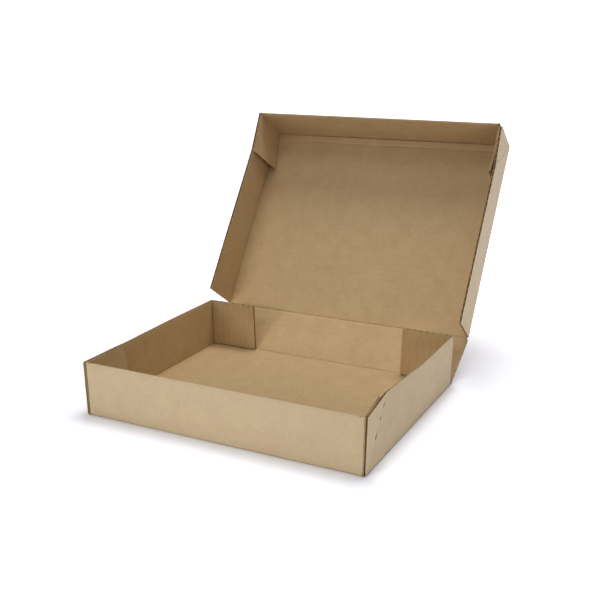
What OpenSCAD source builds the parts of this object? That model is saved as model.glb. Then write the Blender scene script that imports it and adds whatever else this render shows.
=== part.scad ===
// Flat postal box, folded from one die-cut sheet of brown single-wall corrugated board.
// The two front corners of the tray and of the lid are glued in the flat, so that the box pops up in one move.
// Millimetres, +Z up, front towards -Y, origin on the table under the middle of the tray.

/* [Board] */
// Thickness of the corrugated board
board_t = 2.2; // [1.6:0.1:3]
// Thickness of a glued flap, which the gluing presses thinner than the board
flap_t = 1.5; // [1:0.1:2]
// Outer radius of a folded edge
fold_r = 1.5; // [0.5:0.1:1.6]
// Gap left at a crease between two panels that move
crease_gap = 0.3; // [0.2:0.05:0.5]

/* [Tray] */
// Width of the tray over its side walls
tray_w = 260; // [200:1:320]
// Depth of the tray from its front wall to the rear ends of its side walls
tray_d = 204; // [160:1:260]
// Height of the side walls
side_h = 49; // [40:1:70]
// Height of the front wall
front_h = 48; // [35:1:70]
// How far the left diagonal crease pulls its wall's top edge inwards
left_pull = 1; // [0:0.5:6]
// How far the right diagonal crease pulls its wall's top edge inwards
right_pull = 3.5; // [0:0.5:6]
// How far the rear end of a side wall's top edge springs outwards
rear_spring = 1.2; // [0:0.1:1.5]

/* [Flaps] */
// Length of the front walls' glued flaps
glue_flap = 40; // [20:1:45]
// Length of the rear flaps
rear_flap = 46; // [25:1:80]
// Gap between a flap's lower edge and the panel under it
flap_gap = 0.8; // [0.4:0.1:2]
// Drop of a flap's upper edge below the wall beside it
flap_drop = 0.3; // [0.2:0.1:3]

/* [Diagonal crease] */
// Number of perforation slits along a diagonal crease
slit_count = 5; // [3:1:7]
// Length of one slit
slit_len = 5; // [3:0.5:6]
// Width of one slit
slit_w = 0.6; // [0.4:0.1:1]

/* [Lid] */
// Gap between the shut lid's glued flaps and the tray's side walls
lid_side_gap = 0.3; // [0.3:0.1:2]
// Gap between the shut lid's front wall and the tray's front wall
lid_front_gap = 0.8; // [0.4:0.1:3]
// Gap between the shut lid and the top edges of the side walls
lid_rise = 0.6; // [0.4:0.1:3]
// Height of the shut lid's lower edge above the table
lid_lift = 6; // [1:0.5:20]
// Distance of the second score line from the lid's front wall
score_step = 7.5; // [4:0.5:15]
// Depth of that score line
score_depth = 0.5; // [0.2:0.1:0.8]

/* [Pose] */
// How far the back wall leans back from upright
back_lean = 48.5; // [0:0.5:85]
// How far the lid leans back from upright
lid_lean = 34.3; // [0:0.1:85]

/* [Hidden] */
kraft = [0.72, 0.62, 0.48];
kraft_in = [0.66, 0.55, 0.4];
$fn = 48;
// Overlap that makes a glued flap one solid with its wall, and overshoot of a cut
glue_sink = 0.1;
cut_over = 1;

// Where the back wall turns on the floor, and its height from crease to crease
floor_crease = [0, tray_d / 2 + crease_gap + board_t / 2, board_t / 2];
back_h = side_h + lid_rise;
lid_crease = floor_crease + back_h * [0, sin(back_lean), cos(back_lean)];
// The lid slides over the tray, flaps and all
lid_w = tray_w + 2 * (board_t + flap_t + lid_side_gap);
lid_d = tray_d + board_t + lid_front_gap;
lid_h = back_h + board_t - lid_lift;
// Where a rear flap turns on its side wall
rear_crease = [tray_w / 2 - board_t - crease_gap - board_t / 2, tray_d / 2 - board_t / 2, 0];

// A thin wall between outer points and the same points moved inwards along X by t.
// The points run round the wall, and faces lists the outer side's triangles.
module bent_wall(points, faces, t) {
    n = len(points);
    inner = [for (p = points) p - [t, 0, 0]];
    inner_faces = [for (f = faces) [f[2] + n, f[1] + n, f[0] + n]];
    rim = [for (i = [0 : n - 1]) let (j = (i + 1) % n) each [[i, i + n, j], [j, i + n, j + n]]];
    polyhedron(concat(points, inner), concat(faces, inner_faces, rim));
}

// One side wall on +X: square at the rear, creased from its lower front corner up to its free edge at 45 degrees.
// The triangle in front of that crease is glued to the front wall's flap.
module side_wall(w, d, h, h_front, pull, spring) {
    front_low = [w / 2, d, 0];
    front_top = [w / 2, d, h_front];
    crease_top = [w / 2 - pull, d - h, h];
    rear_top = [w / 2 + spring, 0, h];
    rear_low = [w / 2, 0, 0];
    slit_through = 2 * (board_t + pull) + cut_over;
    difference() {
        bent_wall([front_low, rear_low, rear_top, crease_top, front_top],
                  [[0, 1, 3], [1, 2, 3], [0, 3, 4]], board_t);
        for (i = [0 : slit_count - 1]) {
            s = h * (i + 0.5) / slit_count;
            translate([w / 2, d - s, s])
                rotate([-45, 0, 0])
                    cube([slit_through, slit_len, slit_w], center = true);
        }
    }
}

// One glued flap on +X, which runs back from the front wall along the glued triangle.
module glued_flap(w, d, h, h_front, pull) {
    flap_h = h_front - flap_drop - board_t - flap_gap;
    translate([w / 2 - board_t, d, board_t + flap_gap])
        rotate([0, 0, -atan(pull / h)])
            translate([-flap_t, -glue_flap, 0])
                cube([flap_t + glue_sink, glue_flap - board_t / 2, flap_h]);
}

// The corner to cut away along a folded edge that runs along +Y, to leave it round.
module fold_round(len) {
    translate([0, -cut_over, 0])
        rotate([-90, 0, 0])
            linear_extrude(len + 2 * cut_over)
                difference() {
                    translate([-fold_r, -fold_r]) square(fold_r + cut_over);
                    translate([-fold_r, -fold_r]) circle(fold_r);
                }
}

// A floor with a front wall and two side walls, glued at its front corners and open at the rear.
// It stands with its rear edge on the X axis, its front towards +Y and its inside up.
// pulls holds the pull of the diagonal crease on +X and on -X.
module glued_pan(w, d, h, h_front, pulls, spring) {
    difference() {
        union() {
            translate([-w / 2, 0, 0]) cube([w, d, board_t]);
            translate([-w / 2 + board_t, d - board_t, 0]) cube([w - 2 * board_t, board_t, h_front]);
            for (side = [0, 1]) mirror([side, 0, 0]) {
                side_wall(w, d, h, h_front, pulls[side], spring);
                glued_flap(w, d, h, h_front, pulls[side]);
            }
        }
        for (side = [0, 1]) mirror([side, 0, 0])
            translate([w / 2, 0, 0]) fold_round(d);
        translate([-w / 2, d, 0]) rotate([0, 0, -90]) mirror([1, 0, 0]) fold_round(w);
    }
}

// Tray: floor, front wall and side walls, with the front wall's flaps glued inside the side walls.
module tray() {
    color(kraft)
        rotate([0, 0, 180])
            translate([0, -tray_d / 2, 0])
                glued_pan(tray_w, tray_d, side_h, front_h, [left_pull, right_pull], rear_spring);
}

// Back wall: creased to the floor below and to the lid above, as wide as the lid at its top.
module back_wall() {
    low = tray_w / 2;
    top = lid_w / 2;
    color(kraft)
        translate(floor_crease)
            rotate([90 - back_lean, 0, 0]) {
                translate([0, 0, -board_t / 2])
                    linear_extrude(board_t)
                        polygon([[-low, 0], [low, 0], [top, back_h], [-top, back_h]]);
                for (end = [[0, low], [back_h, top]])
                    translate([-end[1], end[0], 0]) rotate([0, 90, 0]) cylinder(d = board_t, h = 2 * end[1]);
            }
}

// Lid: a second glued pan, deep enough to cover the tray's walls, with a double score along its front fold.
module lid() {
    groove = score_depth * sqrt(2);
    color(kraft)
        translate(lid_crease)
            rotate([90 - lid_lean, 0, 0])
                translate([0, board_t / 2 + crease_gap, -board_t / 2])
                    difference() {
                        glued_pan(lid_w, lid_d, lid_h, lid_h, [0, 0], 0);
                        translate([0, lid_d - board_t - score_step, board_t])
                            rotate([45, 0, 0])
                                cube([lid_w - 2 * (board_t + flap_t), groove, groove], center = true);
                    }
}

// A rear flap on +X: it folds in from the rear end of its side wall and stands in front of the back wall.
module rear_flap_body() {
    flap_h = side_h - flap_drop - board_t - flap_gap;
    color(kraft_in)
        translate(rear_crease + [0, 0, board_t + flap_gap]) {
            cylinder(d = board_t, h = flap_h);
            translate([-rear_flap, -board_t / 2, 0]) cube([rear_flap, board_t, flap_h]);
        }
}

module rear_flap_left() { mirror([1, 0, 0]) rear_flap_body(); }
module rear_flap_right() { rear_flap_body(); }

tray();
back_wall();
lid();
rear_flap_left();
rear_flap_right();
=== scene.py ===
# Flat postal box, folded from one die-cut sheet of brown single-wall corrugated board.
# A piece is folded in millimetres, in a frame of its own, and its mesh is then put in metres in its place.
import math

import bmesh
import bpy
from mathutils import Matrix, Vector


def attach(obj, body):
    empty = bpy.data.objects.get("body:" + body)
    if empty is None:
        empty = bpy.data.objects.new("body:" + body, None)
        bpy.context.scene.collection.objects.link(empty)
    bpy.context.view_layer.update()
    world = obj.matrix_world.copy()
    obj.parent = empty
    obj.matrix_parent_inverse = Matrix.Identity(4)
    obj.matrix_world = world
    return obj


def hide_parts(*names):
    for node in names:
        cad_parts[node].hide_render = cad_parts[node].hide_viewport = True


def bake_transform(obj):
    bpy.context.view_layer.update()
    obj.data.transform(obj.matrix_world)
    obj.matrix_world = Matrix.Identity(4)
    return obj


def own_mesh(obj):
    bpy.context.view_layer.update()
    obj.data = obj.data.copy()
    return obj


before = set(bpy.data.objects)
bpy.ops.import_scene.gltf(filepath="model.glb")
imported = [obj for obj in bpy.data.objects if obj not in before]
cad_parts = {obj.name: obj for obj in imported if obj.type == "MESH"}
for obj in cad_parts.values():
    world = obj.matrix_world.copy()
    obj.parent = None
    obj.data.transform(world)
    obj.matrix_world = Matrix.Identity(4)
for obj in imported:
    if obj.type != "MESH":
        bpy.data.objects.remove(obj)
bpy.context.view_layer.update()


# Tray: floor, front wall and side walls, folded up from board that is a fluted paper glued between two kraft
# liners. The front wall's flaps are glued inside the side walls' front triangles. The diagonal creases behind
# those triangles draw the side walls in, and slits along the creases let the corners fold flat.
board_t = 2.2
liner_t = 0.3
core_t = board_t - 2 * liner_t
flap_t = 1.5
flap_gap = 0.8
flap_drop = 0.3
flap_low = board_t + flap_gap
mm = 0.001

# A pan lies with its rear edge on the X axis, its front to +Y and its inside up. Pairs are for +X and -X.
tray_pan = {
    "wide": 260,
    "deep": 204,
    "tall": 49,  # side walls
    "front_tall": 48,  # front wall
    "wall_rear": board_t,  # where the side walls end, above the creases of the rear flaps
    "pull": (1, 3.5),  # how far a diagonal crease draws its wall's free edge in
    "spring": (1.2, 1.6),  # how far that edge springs out at the rear
    "bow": 80,  # length of the bow between the two
    "flare": (1, 1.3),  # how far a front corner leans out at its top
    "trim": (0, 0),  # how far a side wall's front end is set back
    "crush": 0.6,  # how far a side wall's free edge is crushed
    "slits": ((0.08, 0.8, 4), (0.28, 0.3, 4), (0.48, 1.8, 8), (0.69, 1.5, 4.5), (0.86, 1.6, 6.5)),
    "flap": (48, 43),  # length of a glued flap
    "flap_pull": (1, 5.5),  # how far it is drawn in along its triangle
    "stand": (8, 0),  # how far its lower end stands off the wall
    "curl": (0, 0),  # how far its rear end curls in
    "loose": False,  # whether the flaps are pieces of their own
    "score": lambda x, y, front: 0,  # how far the floor's inner liner stands off at a second score line
    "score_rows": [],  # where the floor's mesh is cut for that line
}


def linear(code):
    """An sRGB hex colour as linear red, green, blue and alpha."""
    shares = [int(code[i:i + 2], 16) / 255 for i in (1, 3, 5)]
    return [s / 12.92 if s <= 0.04045 else ((s + 0.055) / 1.055) ** 2.4 for s in shares] + [1]


def add_node(tree, kind, props=None, values=None, links=None):
    """A node with its settings, its sockets' values and the sockets that feed it."""
    made = tree.nodes.new(kind)
    for name, value in (props or {}).items():
        setattr(made, name, value)
    for name, value in (values or {}).items():
        made.inputs[name].default_value = value
    for name, socket in (links or {}).items():
        tree.links.new(socket, made.inputs[name])
    return made


def paper(name, pale, dark, speck, roughness):
    """Unbleached paper: cloudy where the pulp lies thicker, with bark specks and a fibrous, matt face.
    Real specks and fibres are finer than the picture can show, so they are drawn coarse enough to be seen."""
    cloud_mm, grain_mm, speck_mm, fibre_mm = 16, 3, 1.6, 0.9
    felt_deep = 0.08
    made = bpy.data.materials.new(name)
    made.use_nodes = True
    tree = made.node_tree
    shader = tree.nodes["Principled BSDF"]
    place = add_node(tree, "ShaderNodeTexCoord").outputs["Object"]
    cloud = add_node(tree, "ShaderNodeTexNoise",
                     values={"Scale": 1 / (cloud_mm * mm), "Detail": 3, "Roughness": 0.6},
                     links={"Vector": place})
    grain = add_node(tree, "ShaderNodeTexNoise",
                     values={"Scale": 1 / (grain_mm * mm), "Detail": 4, "Roughness": 0.65},
                     links={"Vector": place})
    pulp = add_node(tree, "ShaderNodeMath", {"operation": "ADD"},
                    links={0: cloud.outputs["Fac"], 1: grain.outputs["Fac"]})
    clouds = add_node(tree, "ShaderNodeMapRange", values={"From Min": 0.75, "From Max": 1.25},
                      links={"Value": pulp.outputs[0]})
    tone = add_node(tree, "ShaderNodeMix", {"data_type": "RGBA"}, {6: linear(pale), 7: linear(dark)},
                    {0: clouds.outputs[0]})
    bark = add_node(tree, "ShaderNodeTexNoise", values={"Scale": 1 / (speck_mm * mm), "Detail": 1},
                    links={"Vector": place})
    specks = add_node(tree, "ShaderNodeMapRange", values={"From Min": 0.72, "From Max": 0.8, "To Max": 0.45},
                      links={"Value": bark.outputs["Fac"]})
    speckled = add_node(tree, "ShaderNodeMix", {"data_type": "RGBA"}, {7: linear(speck)},
                        {0: specks.outputs[0], 6: tone.outputs[2]})
    fibre = add_node(tree, "ShaderNodeTexNoise",
                     values={"Scale": 1 / (fibre_mm * mm), "Detail": 4, "Roughness": 0.7},
                     links={"Vector": place})
    felt = add_node(tree, "ShaderNodeBump", values={"Strength": 0.35, "Distance": felt_deep * mm},
                    links={"Height": fibre.outputs["Fac"]})
    tree.links.new(speckled.outputs[2], shader.inputs["Base Color"])
    tree.links.new(felt.outputs["Normal"], shader.inputs["Normal"])
    shader.inputs["Roughness"].default_value = roughness
    shader.inputs["IOR"].default_value = 1.5
    shader.inputs["Specular IOR Level"].default_value = 0.5
    return made


# Kraft liner, calendered: a warm brown that goes pale at a grazing angle. The inner liner is a rougher,
# browner sheet. The fluting is recycled paper, greyer and darker, and shows only at raw edges.
kraft_outside = paper("kraft_liner_outside", "#d3c09f", "#ccb897", "#94795a", 0.6)
kraft_inside = paper("kraft_liner_inside", "#d0b893", "#c7ae87", "#8c6d4a", 0.75)
fluting_paper = paper("fluting_paper", "#a0845f", "#927652", "#655033", 0.9)
board_papers = [kraft_outside, kraft_inside, fluting_paper]
outside, inside, fluting = range(len(board_papers))

# The flutes run from side to side of the blank, so they stand upright in the side walls and lie along the
# front wall, the back wall and the lid. Their washboard shows through the liners.
flute_pitch = 6.4
washboard = 0.045
washboard_step = flute_pitch / 6
fold_steps = 4
hair = 0.01


def lines(start, end, step):
    """Places from start to end, evenly spaced and no further apart than step."""
    count = max(1, math.ceil(abs(end - start) / step - 1e-6))
    return [start + (end - start) * i / count for i in range(count + 1)]


def both_ways(half):
    """Places on either side of 0, from the places on one side."""
    return [-u for u in reversed(half[1:])] + half


def creased_grid(bm, across, along, place):
    """A flat grid with its lines at across and along, each point of which place then folds into shape."""
    made = bmesh.ops.create_grid(bm, x_segments=len(across) - 1, y_segments=len(along) - 1, size=1)["verts"]
    for vert in made:
        i = round((vert.co.x + 1) / 2 * (len(across) - 1))
        j = round((vert.co.y + 1) / 2 * (len(along) - 1))
        vert.co = place(across[i], along[j])


def fold_up(u, flat, radius, notch=0):
    """How far out and up a point u along a strip goes, when the strip folds up with that radius beyond flat.
    notch is how deep the creasing rule has pressed the line of the fold into the board."""
    run = abs(u) - flat
    turn = radius * math.pi / 2
    if run <= 0:
        return u, 0
    if run < turn:
        deep = notch * math.sin(math.pi * run / turn) * math.sqrt(0.5)
        out = flat + radius * math.sin(run / radius) + deep
        up = radius * (1 - math.cos(run / radius)) - deep
    else:
        out, up = flat + radius, radius + run - turn
    return math.copysign(out, u), up


def flute_wave(place):
    """Where the fluted paper stands between the liners, from 1 at the outer to -1 at the inner."""
    return math.sin(2 * math.pi * place / flute_pitch)


def ripple(place, start, end):
    """The washboard of the flutes under a liner, which dies out towards the folds at start and end."""
    fade = min(1, max(0, min(abs(place - start), abs(end - place)) / flute_pitch))
    return washboard * fade * flute_wave(place)


# How the side walls and the glued flaps stand, and how the cutting knife has crushed their free edges
front_crush = 0.7
crush_reach = 2
crush_slope = 3
crush_delay = 2.5
stand_bend = 1.2
curl_bend = 4


def side_of(x):
    """0 on +X and 1 on -X, as a pan's pairs list them."""
    return 0 if x > 0 else 1


def wall_shift(pan, side, y, z):
    """How far a side wall's point stands outside its square place.
    The diagonal crease draws the wall in, and it springs out again behind."""
    pull = pan["pull"][side]
    run = (pan["deep"] - y) / pan["tall"]
    rise = z / pan["tall"]
    if run <= 1:
        return pan["flare"][side] * max(0, rise - run) - pull * min(run, rise)
    behind = min(1, (run - 1) * pan["tall"] / pan["bow"])
    return rise * (-pull + (pull + pan["spring"][side]) * behind)


def wall_crush(pan, y):
    """How far a side wall's free edge is crushed behind its glued triangle."""
    return pan["crush"] * max(0, min(1, (pan["deep"] - y) / pan["tall"] * crush_slope - crush_delay))


def crushed(deep, z, top):
    """How far the cutting knife has pressed a liner towards the other one, at or near a free edge."""
    return deep * max(0, 1 - (top - z) / crush_reach)


def set_back(pan, side, y):
    """How far a point at the front end of a side wall stops short of its square place."""
    return pan["trim"][side] * max(0, 1 - (pan["deep"] - y) / pan["tall"])


def flap_shift(pan, side, y, z):
    """How far a glued flap's point stands outside its square place.
    The flap follows its wall's triangle, and its lower end or its rear end stands off."""
    run = max(0, pan["deep"] - board_t - y)
    share = run / pan["flap"][side]
    rise = z / pan["tall"]
    off_wall = pan["stand"][side] * share ** stand_bend * (1 - rise) + pan["curl"][side] * share ** curl_bend
    lean = pan["flare"][side] * (rise - run / pan["tall"])
    pull = pan["flap_pull"][side] * run / pan["tall"]
    return lean - pull * (rise if pull < 0 else 1) - off_wall


def faces_and_edges(faces):
    """Faces with their edges and corners, each once."""
    return list(dict.fromkeys(part for face in faces for part in (face, *face.edges, *face.verts)))


def cut_slits(sheet, pan, wall_x):
    """Creases the side walls from their lower front corners up at 45 degrees, and slits the creases.
    A slit has its place along the crease, its width and its length, and gapes most at its middle."""
    snap = 0.05
    along = Vector((0, -1, 1)).normalized()
    over = Vector((0, 1, 1)).normalized()
    walls = [f for f in sheet.faces if abs(f.calc_center_median().x) > wall_x]
    cut = bmesh.ops.bisect_plane(sheet, geom=faces_and_edges(walls), dist=snap,
                                 plane_co=(0, pan["deep"], 0), plane_no=over)["geom_cut"]
    crease = [part for part in cut if isinstance(part, bmesh.types.BMEdge)]
    for share, slit_w, slit_len in pan["slits"]:
        run = pan["tall"] * share
        middle = Vector((0, pan["deep"] - run, run))
        slit = []
        for edge in crease:
            edge_middle = edge.verts[0].co / 2 + edge.verts[1].co / 2
            if abs((edge_middle - middle).dot(along)) < slit_len / 2:
                slit.append(edge)
        opened = bmesh.ops.split_edges(sheet, edges=slit)["edges"]
        crease = [e for e in crease if e not in slit]
        for vert in dict.fromkeys(v for e in opened for v in e.verts):
            sides = [(f.calc_center_median() - middle).dot(over) > 0 for f in vert.link_faces]
            if all(sides) or not any(sides):
                gape = slit_w / 2 * (1 - min(1, abs((vert.co - middle).dot(along)) / slit_len * 2) ** 2)
                vert.co += over * (gape if sides[0] else -gape)


# Folds of the two liners, the steps of their meshes, and where the front wall's corner starts above the table
outer_fold = 1.6
inner_fold = 0.7
inner_notch = 0.6
outer_corner = 1.7
inner_corner = 0.3
corner_low = 0.5
panel_step = 8
wall_step = 3.2
rear_step = 1.1
front_step = 0.6
flap_step = 4


def pour(piece, sheet):
    """Adds one mesh to another and frees it."""
    mesh = bpy.data.meshes.new("sheet")
    sheet.to_mesh(mesh)
    sheet.free()
    piece.from_mesh(mesh)
    bpy.data.meshes.remove(mesh)


def pan_liner(pan, inset, fold_r, flap_inset, corner_r):
    """One liner of a pan, inset from its outer faces, with its normals to the inside.
    Flaps that are pieces of their own are left off it."""
    wall_x = pan["wide"] / 2 - inset
    wall_y = pan["deep"] - inset
    flat_x = wall_x - fold_r
    flat_y = wall_y - fold_r
    corner_x = pan["wide"] / 2 - flap_inset - corner_r
    turn = fold_r * math.pi / 2
    corner = corner_r * math.pi / 2
    notch = inner_notch if inset else 0
    crush_way = 1 if inset else -1
    shared = lines(0, corner_x, panel_step)
    sheet = bmesh.new()

    # Floor and side walls
    half = shared + [flat_x + turn * i / fold_steps for i in range(fold_steps + 1)]
    half += [flat_x + turn + z - inset - fold_r for z in lines(flap_low, pan["tall"], wall_step)]
    rows = set(lines(0, pan["wall_rear"], rear_step))
    rows.update(lines(pan["wall_rear"], flat_y, washboard_step))
    rows.update(lines(flat_y, pan["deep"], front_step))
    rows.update(pan["score_rows"])

    def fold_sides(u, v):
        out, up = fold_up(u, flat_x, fold_r, notch)
        return Vector((out, v, inset + up))

    creased_grid(sheet, both_ways(half), sorted(rows), fold_sides)
    gone = []
    for face in sheet.faces:
        middle = face.calc_center_median()
        front_notch = abs(middle.x) < corner_x and middle.y > flat_y
        rear_notch = middle.y < pan["wall_rear"] and middle.z > flap_low
        if front_notch or rear_notch:
            gone.append(face)
    bmesh.ops.delete(sheet, geom=gone, context="FACES")
    cut_slits(sheet, pan, wall_x - hair)
    for vert in sheet.verts:
        x, y, z = vert.co
        if abs(x) > flat_x + hair:
            run = min(1, (pan["deep"] - y) / pan["tall"])
            vert.co.z = z * (pan["front_tall"] + (pan["tall"] - pan["front_tall"]) * run) / pan["tall"]
            out = wall_shift(pan, side_of(x), y, z) + min(1, z / flute_pitch) * ripple(y, 0, pan["deep"])
            out += crushed(wall_crush(pan, y), z, pan["tall"]) * crush_way
            vert.co.x += math.copysign(1, x) * out
        if abs(x) > corner_x + hair:
            vert.co.y -= set_back(pan, side_of(x), y)
        elif inset:
            vert.co.z += ripple(y, 0, flat_y) + pan["score"](x, y, flat_y)

    # Front wall with its flaps, which turn back inside the side walls
    columns = both_ways(shared)
    for side in (0, 1):
        flap_half = [corner_x + corner * i / fold_steps for i in range(1, fold_steps + 1)]
        if not pan["loose"]:
            flap_run = wall_y - corner_r - pan["deep"] + pan["flap"][side]
            flap_half += [corner_x + corner + run for run in lines(0, flap_run, flap_step)[1:]]
        columns = [-u for u in reversed(flap_half)] + columns if side else columns + flap_half
    upright = [inset + fold_r] + lines(flap_low, pan["front_tall"], washboard_step)
    heights = [turn * i / fold_steps for i in range(fold_steps)]
    heights += [turn + z - inset - fold_r for z in upright]
    front = bmesh.new()

    def fold_front(u, v):
        out, back = fold_up(u, corner_x, corner_r)
        ahead, up = fold_up(flat_y + v, flat_y, fold_r, notch)
        z = inset + up
        if back > 0:
            out += math.copysign(1, u) * flap_shift(pan, side_of(u), ahead - back, z)
            z -= flap_drop * min(1, back / corner_r) * z / pan["front_tall"]
        else:
            ahead += ripple(z, flap_low, pan["front_tall"])
            out *= 1 + pan["flare"][side_of(u)] * z / pan["tall"] / corner_x
            ahead += crushed(front_crush, z, pan["front_tall"]) * crush_way
        return Vector((out, ahead - back, z))

    creased_grid(front, columns, heights, fold_front)
    below = []
    for face in front.faces:
        middle = face.calc_center_median()
        on_flap = abs(middle.x) > corner_x and middle.y < wall_y - corner_r
        if abs(middle.x) > corner_x and middle.z < (flap_low - flap_drop if on_flap else corner_low):
            below.append(face)
    bmesh.ops.delete(front, geom=below, context="FACES")
    pour(sheet, front)
    return sheet


def walled_copy(sheet):
    """Copies a sheet's faces and walls the copy in along the free edges, and gives the copy's points."""
    made = bmesh.ops.extrude_face_region(sheet, geom=sheet.faces[:], use_keep_orig=True)["geom"]
    return [part for part in made if isinstance(part, bmesh.types.BMVert)]


def join_sheet(piece, sheet, finish):
    """Adds a closed sheet to a piece, in one of the board's papers."""
    bmesh.ops.recalc_face_normals(sheet, faces=sheet.faces)
    for face in sheet.faces:
        face.material_index = finish
    pour(piece, sheet)


def add_liner(piece, sheet, finish, flipped=False):
    """Gives a folded liner its thickness, on the side away from its normals, and adds it to a piece."""
    weld = 0.02
    mitre_limit = 1.45
    bmesh.ops.remove_doubles(sheet, verts=sheet.verts, dist=weld)
    if flipped:
        bmesh.ops.reverse_faces(sheet, faces=sheet.faces)
    sheet.normal_update()
    depth = sheet.verts.layers.float_vector.new("depth")
    for vert in sheet.verts:
        vert[depth] = -vert.normal * liner_t * min(mitre_limit, vert.calc_shell_factor())
    for vert in walled_copy(sheet):
        vert.co += vert[depth]
    sheet.verts.layers.float_vector.remove(depth)
    join_sheet(piece, sheet, finish)


def add_pan_liners(piece, pan):
    """The outer and the inner liner of a pan. At its corners the outer one turns round the inner one."""
    add_liner(piece, pan_liner(pan, 0, outer_fold, board_t, outer_corner), outside, True)
    add_liner(piece, pan_liner(pan, board_t, inner_fold, board_t + flap_t, inner_corner), inside)


# Raw edges: how far the fluted paper stops short, how far a flute's end stands proud of that, how deep the
# pocket beside it is, how wide the pressed rim is, and how hollow the side walls' front ends are
fluting_t = 0.2
flute_step = flute_pitch / 8
flute_recess = 0.12
flute_tooth = 0.3
flute_pocket = 2
pocket_share = 0.5
pocket_swing = 1.5
rim = 2.6
rim_clear = 0.1
edge_hollow = 1.5
core_low = 1.3
core_step = 3
front_core_step = 20


def rimmed(places):
    """Places with a narrow step at either end."""
    step = math.copysign(rim, places[-1] - places[0])
    inner = [p for p in places if min(abs(p - places[0]), abs(p - places[-1])) > rim + rim_clear]
    return [places[0], places[0] + step, *inner, places[-1] - step, places[-1]]


def fluted_core(piece, across, along, place, thickness=core_t, end_crush=None, side_crush=0):
    """The fluted paper between two liners, its flutes across.
    place folds a point from its across, its along and how far it is off the middle. At a raw edge the knife
    has pressed it out to both liners. Where the edge cuts the flutes, their ends leave pockets between."""
    across, along = rimmed(across), rimmed(along)
    core = bmesh.new()
    creased_grid(core, across, along, lambda u, v: Vector((u, v, 1)))
    for vert in walled_copy(core):
        vert.co.z = -1
    for vert in core.verts:
        u, v, face = vert.co
        end = min((across[0], across[-1]), key=lambda edge: abs(edge - u))
        at_end = abs(u - end) < hair
        at_side = min(abs(v - along[0]), abs(v - along[-1])) < hair
        off = face * (thickness / 2 - side_crush)
        if at_end:
            off = face * (thickness / 2 - (end_crush(v) if end_crush else 0))
            wave = flute_wave(v)
            pocket = flute_pocket * min(1, max(0, pocket_share - pocket_swing * wave))
            proud = flute_tooth * max(0, wave) - pocket
            u += math.copysign(1, 2 * end - across[0] - across[-1]) * proud
        elif not at_side:
            off = (thickness - fluting_t) / 2 * flute_wave(v) + face * fluting_t / 2
        vert.co = place(u, v, off)
    join_sheet(piece, core, fluting)


def pan_fluting(piece, pan):
    """The fluted paper in a pan's walls. Behind a slit it is pressed back to the inner liner."""
    for side, sign in ((0, 1), (1, -1)):
        def in_wall(z, y, off):
            run = pan["deep"] - y
            rise = 1 + (pan["tall"] / pan["front_tall"] - 1) * min(1, run / pan["tall"])
            for share, slit_w, slit_len in pan["slits"]:
                past = abs((run + z) / 2 - share * pan["tall"]) * math.sqrt(2)
                if past < slit_len / 2 and abs(run - z) < slit_w:
                    off = -core_t / 2
            out = pan["wide"] / 2 - board_t / 2 + off + wall_shift(pan, side, y, z)
            return Vector((sign * out, y - set_back(pan, side, y), z * rise))

        fluted_core(piece, lines(core_low, pan["front_tall"] - flute_recess, core_step),
                    lines(pan["wall_rear"] + flute_recess, pan["deep"] - edge_hollow, flute_step), in_wall,
                    end_crush=lambda y: wall_crush(pan, y))
    reach = pan["wide"] / 2 - 2 * board_t
    fluted_core(piece, lines(-reach, reach, front_core_step),
                lines(flap_low, pan["front_tall"] - flute_recess, flute_step),
                lambda x, z, off: Vector((x, pan["deep"] - board_t / 2 + off, z)), side_crush=front_crush)


def flap_fluting(piece, pan, side):
    """The fluted paper in one glued flap, pressed flatter than in a wall."""
    sign = 1 - 2 * side
    middle = pan["wide"] / 2 - board_t - flap_t / 2
    flap_end = pan["deep"] - pan["flap"][side] + flute_recess
    fluted_core(piece, lines(pan["deep"] - 2 * board_t, flap_end, flap_step),
                lines(flap_low + flute_recess, pan["front_tall"] - flap_drop - flute_recess, flute_step),
                lambda y, z, off: Vector((sign * (middle + off + flap_shift(pan, side, y, z)), y, z)),
                flap_t - 2 * liner_t)


def finished_piece(name, piece, place):
    """The piece as an object in metres, smooth apart from its raw edges, in the board's three papers."""
    raw_edge_angle = math.radians(32)
    bmesh.ops.transform(piece, matrix=Matrix.Scale(mm, 4) @ place, verts=piece.verts)
    mesh = bpy.data.meshes.new(name)
    piece.to_mesh(mesh)
    piece.free()
    mesh.polygons.foreach_set("use_smooth", [True] * len(mesh.polygons))
    mesh.set_sharp_from_angle(angle=raw_edge_angle)
    for finish in board_papers:
        mesh.materials.append(finish)
    obj = bpy.data.objects.new(name, mesh)
    bpy.context.scene.collection.objects.link(obj)
    return obj


tray_place = Matrix.Rotation(math.pi, 4, "Z") @ Matrix.Translation((0, -tray_pan["deep"] / 2, 0))
tray_board = bmesh.new()
add_pan_liners(tray_board, tray_pan)
pan_fluting(tray_board, tray_pan)
flap_fluting(tray_board, tray_pan, 0)
flap_fluting(tray_board, tray_pan, 1)
tray = finished_piece("tray_board", tray_board, tray_place)
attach(tray, "tray")
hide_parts("tray")


# Rear flaps: the side walls' rear ends, folded in behind the tray's corners and loose before the back wall.
# The same board, with its flutes upright, so that their lines show down the flaps.
crease_gap = 0.3
rear_crease_x = tray_pan["wide"] / 2 - board_t - crease_gap - board_t / 2
rear_crease_y = tray_pan["deep"] / 2 - board_t / 2
rear_corner = 0.5
rear_corner_steps = 6
rear_wash = 0.16
rear_bend = 1.77


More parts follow.
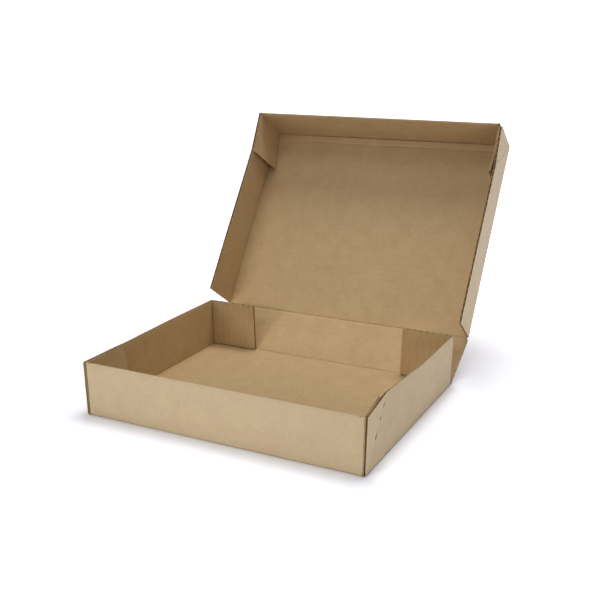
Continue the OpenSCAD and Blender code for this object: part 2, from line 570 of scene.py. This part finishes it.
def rear_flap_piece(name, sign, length):
    """A rear flap on +X (sign 1) or -X (sign -1), from its side wall's end round the corner to its free end.
    With it come the places where its bend starts and ends."""
    side = side_of(-sign)
    wall_x = tray_pan["wide"] / 2
    face_y = tray_pan["deep"] / 2
    end_x = rear_crease_x - length
    flap_top = tray_pan["tall"] - flap_drop
    heights = lines(flap_low, flap_top, flap_step)
    turn = board_t * math.pi / 2

    def lean(z):
        return wall_shift(tray_pan, side, tray_pan["wall_rear"], z)

    def wash(x):
        fade = min(1, max(0, (wall_x - 2 * board_t - x) / flute_pitch))
        return rear_wash * fade * flute_wave(x)

    piece = bmesh.new()
    outer = bmesh.new()
    run = [turn * i / rear_corner_steps for i in range(rear_corner_steps + 1)]
    run += [turn + r for r in lines(0, wall_x - board_t - end_x, washboard_step)[1:]]

    def fold_outer(u, z):
        out, up = fold_up(u, 0, board_t)
        x = wall_x - up
        return Vector((sign * (x + lean(z)), face_y - board_t + out + wash(x), z))

    creased_grid(outer, run, heights, fold_outer)
    add_liner(piece, outer, outside, sign > 0)
    inner = bmesh.new()
    creased_grid(inner, lines(wall_x - board_t - rear_corner, end_x, washboard_step), heights,
                 lambda x, z: Vector((sign * (x + lean(z)), face_y - board_t + wash(x), z)))
    add_liner(piece, inner, inside, sign < 0)
    fluted_core(piece, lines(flap_low + flute_recess, flap_top - flute_recess, flap_step),
                lines(wall_x - board_t - rear_corner, end_x + flute_recess, flute_step),
                lambda z, x, off: Vector((sign * (x + lean(z)), face_y - board_t / 2 + off, z)))
    made = finished_piece(name, piece, Matrix.Identity(4))
    pivot = Vector((sign * rear_crease_x, rear_crease_y, 0))
    way = Vector((-sign, 1, 0)).normalized()
    return made, (pivot - rear_bend * way) * mm, (pivot + rear_bend * way) * mm


for flap_name, flap_body, flap_sign, flap_len in (("rear_flap_left_board", "rear_flap_left", -1, 48),
                                                  ("rear_flap_right_board", "rear_flap_right", 1, 46)):
    loose_flap, bend_start, bend_end = rear_flap_piece(flap_name, flap_sign, flap_len)
    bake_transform(loose_flap)
    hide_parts(flap_body)


# Back wall: the panel behind the floor, creased to it, leaning back. Its raw side edges show the open flutes.
# It widens towards the lid, which has to close outside the tray.
back_lean = math.radians(48.5)
back_h = 49.6
back_low = tray_pan["wide"] / 2
back_top = 134
back_step = 0.06
back_core_step = 13
mid_t = board_t / 2
crease_reach = 1.4
crease_half = 0.75
crease_dip = 0.1
crease_deep = 0.45
floor_turn = math.pi / 2 - back_lean
floor_crease = Vector((0, tray_pan["deep"] / 2 + crease_reach, board_t / 2))
back_place = Matrix.Translation(floor_crease) @ Matrix.Rotation(math.pi / 2 - back_lean, 4, "X")


def turned(reach, off, turn):
    """A place in the (along, up) plane of a crease: reach back along a panel turned up, off its middle."""
    along = off * math.sin(turn) - reach * math.cos(turn)
    up = reach * math.sin(turn) + off * math.cos(turn)
    return Vector((along, up))


def crease_outside(turn, steps):
    """The outer liner round a crease whose rear panel is turned up, from that panel to the front one."""
    places = [turned(crease_reach, -mid_t, turn)]
    for i in range(steps + 1):
        places.append(turned(0, -mid_t, turn * (1 - i / steps)))
    return places


def crease_inside(turn):
    """The inner liner across a crease, pressed in along the line."""
    return [turned(crease_reach, mid_t, turn), turned(crease_half, mid_t - crease_dip, turn),
            turned(0, mid_t - crease_deep, turn / 2), turned(-crease_half, mid_t - crease_dip, 0)]


def back_width(along):
    """Half the back wall's width at a place up from the floor's crease."""
    return back_low + (back_top - back_low) * max(0, along) / back_h


def back_liner(profile):
    """One liner of the back wall, along a profile of (along, up) places."""
    sheet = bmesh.new()
    creased_grid(sheet, lines(-1, 1, back_step), list(range(len(profile))),
                 lambda u, row: Vector((u * back_width(profile[row][0]), *profile[row])))
    return sheet


back_rows = lines(crease_reach, back_h - crease_reach, washboard_step)
back_outer = crease_outside(floor_turn, 5) + [Vector((v, -mid_t + ripple(v, 0, back_h))) for v in back_rows]
back_inner = crease_inside(floor_turn) + [Vector((v, mid_t + ripple(v, 0, back_h))) for v in back_rows]
back_board = bmesh.new()
add_liner(back_board, back_liner(back_outer), outside, True)
add_liner(back_board, back_liner(back_inner), inside)
fluted_core(back_board, lines(flute_recess - back_low, back_low - flute_recess, back_core_step),
            lines(crease_reach, back_h - crease_reach, flute_step),
            lambda u, v, off: Vector((u * back_width(v) / back_low, v, off)))
back_wall = finished_piece("back_wall_board", back_board, back_place)
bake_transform(back_wall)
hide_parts("back_wall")


# Lid: a second pan, wider and deeper than the tray so that it closes over it, creased to the back wall's top.
# Its front fold is scored twice, which leaves a narrow band; its glued corners are made as the tray's are.
lid_wide = 268
lid_deep = 207
lid_tall = 45.8
lid_rack = 1.35
lid_lean = math.radians(34.3)
score_step = 7.5
score_line = lid_deep - board_t - score_step
score_half = 0.55
score_band = 0.8
score_start = 12
score_fade = 45


def lid_score(x, y, front):
    """How far the lid's inner liner stands off at its second score line, and on the band in front of it."""
    groove = -crease_deep * math.exp(-((y - score_line) / score_half) ** 2)
    band = score_band * max(0, min(1, (y - score_line) / (front - score_line)))
    return (groove + band) * max(0, min(1, (x + lid_wide / 2 - score_start) / score_fade))


lid_pan = {
    "wide": lid_wide,
    "deep": lid_deep,
    "tall": lid_tall,
    "front_tall": lid_tall,
    "wall_rear": 0,
    "pull": (-2.6, 1.4),
    "spring": (2.6, 0),
    "bow": 110,
    "flare": (0, 2),
    "trim": (2.5, 0),
    "crush": 0,
    "slits": [(0.14 + 0.17 * i, 1.5, 4.5) for i in range(5)],
    "flap": (52, 47),
    "flap_pull": (-2.2, 1.4),
    "stand": (0, 6.2),
    "curl": (2.8, 0),
    "loose": True,
    "score": lid_score,
    "score_rows": [score_line + step for step in (-1.2, -0.6, -0.3, 0, 0.3, 0.6, 1.2)],
}
lid_crease = floor_crease + back_h * Vector((0, math.sin(back_lean), math.cos(back_lean)))
lid_place = (Matrix.Translation(lid_crease) @ Matrix.Rotation(math.pi / 2 - lid_lean, 4, "X")
             @ Matrix.Translation((0, crease_reach, -mid_t)))
hinge_turn = back_lean - lid_lean


def lid_crease_strip(profile):
    """One liner from the back wall's top edge to the lid's rear edge."""
    sheet = bmesh.new()
    half = lid_pan["wide"] / 2 - outer_fold
    creased_grid(sheet, lines(-half, half, panel_step), list(range(len(profile))),
                 lambda x, row: Vector((x, profile[row][0] - crease_reach, profile[row][1] + mid_t)))
    return sheet


def rack(piece):
    """Leans the lid's front a little out of square: its free edge stands higher on the left."""
    for vert in piece.verts:
        x, y, z = vert.co
        lift = lid_rack * x / lid_pan["wide"] * 2 * (y / lid_pan["deep"]) ** 2
        vert.co.z -= lift * max(0, z - board_t) / lid_pan["tall"]


lid_outer = crease_outside(hinge_turn, 3) + [Vector((crease_reach, -mid_t))]
lid_inner = crease_inside(hinge_turn) + [Vector((crease_reach, mid_t))]
lid_board = bmesh.new()
add_pan_liners(lid_board, lid_pan)
add_liner(lid_board, lid_crease_strip(lid_outer), outside, True)
add_liner(lid_board, lid_crease_strip(lid_inner), inside)
pan_fluting(lid_board, lid_pan)
rack(lid_board)
lid = finished_piece("lid_board", lid_board, lid_place)
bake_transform(lid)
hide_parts("lid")


# Lid's glued flaps: they turn back from the lid's front wall and are glued along its side walls' triangles,
# the left one along its free edge only. The left one's lower end and the right one's rear end stand off,
# and the tray presses both flat against the walls as the lid shuts.
lid_flap_step = 2


def lid_flap_liner(side, inset, flap_inset, corner_r):
    """One liner of a lid flap, from the end of its bend to its rear end."""
    sheet = bmesh.new()
    sign = 1 - 2 * side
    face_x = lid_pan["wide"] / 2 - flap_inset
    runs = lines(lid_pan["deep"] - inset - corner_r, lid_pan["deep"] - lid_pan["flap"][side], lid_flap_step)
    creased_grid(sheet, runs, lines(flap_low, lid_pan["front_tall"] - flap_drop, washboard_step),
                 lambda y, z: Vector((sign * (face_x + flap_shift(lid_pan, side, y, z)), y, z)))
    return sheet


for flap_name, side in (("lid_flap_right_board", 0), ("lid_flap_left_board", 1)):
    flap_board = bmesh.new()
    add_liner(flap_board, lid_flap_liner(side, 0, board_t, outer_corner), outside, side == 0)
    add_liner(flap_board, lid_flap_liner(side, board_t, board_t + flap_t, inner_corner), inside, side == 1)
    flap_fluting(flap_board, lid_pan, side)
    rack(flap_board)
    lid_flap = finished_piece(flap_name, flap_board, lid_place)
    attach(lid_flap, "lid")
    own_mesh(lid_flap)


# Stage: a white table that runs back into a white backdrop. Two soft lamps hang overhead, with one high in
# front, one low in front with a grid on it, and a weak one at the right. Sizes here are in metres.
table_half = 4
table_drop = 0.0002
backdrop_y = 3
backdrop_tall = 2
table = bmesh.new()
bmesh.ops.create_grid(table, x_segments=1, y_segments=1, size=table_half)
bmesh.ops.translate(table, verts=table.verts, vec=(0, backdrop_y - table_half, -table_drop))
rear_edge = [e for e in table.edges if all(v.co.y > backdrop_y - hair for v in e.verts)]
raised = bmesh.ops.extrude_edge_only(table, edges=rear_edge)["geom"]
raised_verts = [part for part in raised if isinstance(part, bmesh.types.BMVert)]
bmesh.ops.translate(table, verts=raised_verts, vec=(0, 0, backdrop_tall))
bmesh.ops.recalc_face_normals(table, faces=table.faces)
table_mesh = bpy.data.meshes.new("table")
table.to_mesh(table_mesh)
table.free()
table_top = bpy.data.objects.new("table", table_mesh)
bpy.context.scene.collection.objects.link(table_top)

# Matt white paint with a painted glow, an emission that stands in for light on the table. It grows with
# distance from the box and fades out further than about 0.4 m in front of it. Right beside the tray it is
# held back, which paints a shadow there.
table_paint = bpy.data.materials.new("white_table_with_painted_glow")
table_paint.use_nodes = True
table_tree = table_paint.node_tree
table_shader = table_tree.nodes["Principled BSDF"]
table_shader.inputs["Base Color"].default_value = linear("#f3f3f5")
table_shader.inputs["Roughness"].default_value = 0.9
table_shader.inputs["Specular IOR Level"].default_value = 0.1
# The glow's bluish tint colours the painted shadow beside the tray.
table_shader.inputs["Emission Color"].default_value = linear("#ecf0ff")
glow_fade_way = (-0.452, 0.892, 0)
tray_half = (tray_pan["wide"] / 2 * mm, tray_pan["deep"] / 2 * mm, 0)
table_place = add_node(table_tree, "ShaderNodeTexCoord").outputs["Object"]
distance = add_node(table_tree, "ShaderNodeVectorMath", {"operation": "LENGTH"}, links={0: table_place})
painted_far_glow = add_node(table_tree, "ShaderNodeMapRange", {"interpolation_type": "SMOOTHSTEP"},
                    {"From Min": 0.15, "From Max": 0.6, "To Min": 0.26, "To Max": 0.85},
                    {"Value": distance.outputs["Value"]})
behind_front = add_node(table_tree, "ShaderNodeVectorMath", {"operation": "DOT_PRODUCT"}, {1: glow_fade_way},
                        {0: table_place})
glow_front_fade = add_node(table_tree, "ShaderNodeMapRange", {"interpolation_type": "SMOOTHSTEP"},
                    {"From Min": -0.46, "From Max": -0.32, "To Min": 0, "To Max": 1},
                    {"Value": behind_front.outputs["Value"]})
faded_painted_glow = add_node(table_tree, "ShaderNodeMath", {"operation": "MULTIPLY"},
                    links={0: painted_far_glow.outputs[0], 1: glow_front_fade.outputs[0]})
off_middle = add_node(table_tree, "ShaderNodeVectorMath", {"operation": "ABSOLUTE"}, links={0: table_place})
off_tray = add_node(table_tree, "ShaderNodeVectorMath", {"operation": "SUBTRACT"}, {1: tray_half},
                    {0: off_middle.outputs[0]})
off_sides = add_node(table_tree, "ShaderNodeSeparateXYZ", links={0: off_tray.outputs[0]})
clear_of_tray = add_node(table_tree, "ShaderNodeMath", {"operation": "MAXIMUM"},
                         links={0: off_sides.outputs[0], 1: off_sides.outputs[1]})
# Painted contact shadow: the glow fades from full at 13 mm out from the tray's footprint to nothing just
# inside it.
painted_shadow_mask = add_node(table_tree, "ShaderNodeMapRange", {"interpolation_type": "SMOOTHSTEP"},
                    {"From Min": -0.005, "From Max": 0.013, "To Min": 0, "To Max": 1},
                    {"Value": clear_of_tray.outputs[0]})
painted_table_glow = add_node(table_tree, "ShaderNodeMath", {"operation": "MULTIPLY"},
                      links={0: faded_painted_glow.outputs[0], 1: painted_shadow_mask.outputs[0]})
table_tree.links.new(painted_table_glow.outputs[0], table_shader.inputs["Emission Strength"])
table_mesh.materials.append(table_paint)

surround = bpy.data.worlds.new("dim_surround")
surround.use_nodes = True
surround_light = surround.node_tree.nodes["Background"]
surround_light.inputs["Color"].default_value = linear("#ffffff")
surround_light.inputs["Strength"].default_value = 0.08
bpy.context.scene.world = surround

# Each lamp's width, depth, power, spread in degrees, place and aim
box_middle = (0, 0.05, 0.08)
tray_front = (0, -0.1, 0.01)
lamps = (("overhead_rear_lamp", 1.2, 0.6, 12.9, 180, (0.06, 0.45, 1.6), box_middle),
         ("overhead_front_lamp", 1.2, 0.6, 3.6, 180, (0.06, -0.35, 1.6), box_middle),
         ("high_front_lamp", 1, 0.5, 4, 180, (0, -1.2, 1.1), box_middle),
         ("front_lamp", 0.6, 0.3, 0.205, 40, (-0.3, -0.9, 0.32), tray_front),
         ("right_lamp", 0.6, 0.3, 1.3, 180, (0.95, -0.25, 0.25), box_middle))
for lamp_name, lamp_wide, lamp_deep, lamp_power, lamp_spread, lamp_at, lamp_aim in lamps:
    lamp_data = bpy.data.lights.new(lamp_name, "AREA")
    lamp_data.shape = "ELLIPSE"
    lamp_data.size = lamp_wide
    lamp_data.size_y = lamp_deep
    lamp_data.energy = lamp_power
    lamp_data.spread = math.radians(lamp_spread)
    lamp = bpy.data.objects.new(lamp_name, lamp_data)
    lamp.location = lamp_at
    lamp.visible_camera = False
    lamp.rotation_euler = (Vector(lamp_aim) - lamp.location).to_track_quat("-Z", "Y").to_euler()
    bpy.context.scene.collection.objects.link(lamp)
bpy.context.scene.view_settings.view_transform = "Standard"
bpy.context.scene.view_settings.gamma = 0.8


# Camera: a little above the open box and to the right of its front, at the photograph's viewing angle.
# Its place and turn come from the box's corners, and its lens is for a sensor 36 mm wide.
camera_at = (0.358315, -0.658056, 0.316068)
camera_turn = math.radians(26.895)
camera_tilt = math.radians(73.4)
camera_roll = math.radians(-0.267)
camera_data = bpy.data.cameras.new("camera")
camera_data.sensor_fit = "HORIZONTAL"
camera_data.sensor_width = 36
camera_data.lens = 53.869
camera = bpy.data.objects.new("camera", camera_data)
camera.matrix_world = (Matrix.Translation(camera_at) @ Matrix.Rotation(camera_turn, 4, "Z")
                       @ Matrix.Rotation(camera_tilt, 4, "X") @ Matrix.Rotation(camera_roll, 4, "Z"))
bpy.context.scene.collection.objects.link(camera)
bpy.context.scene.camera = camera
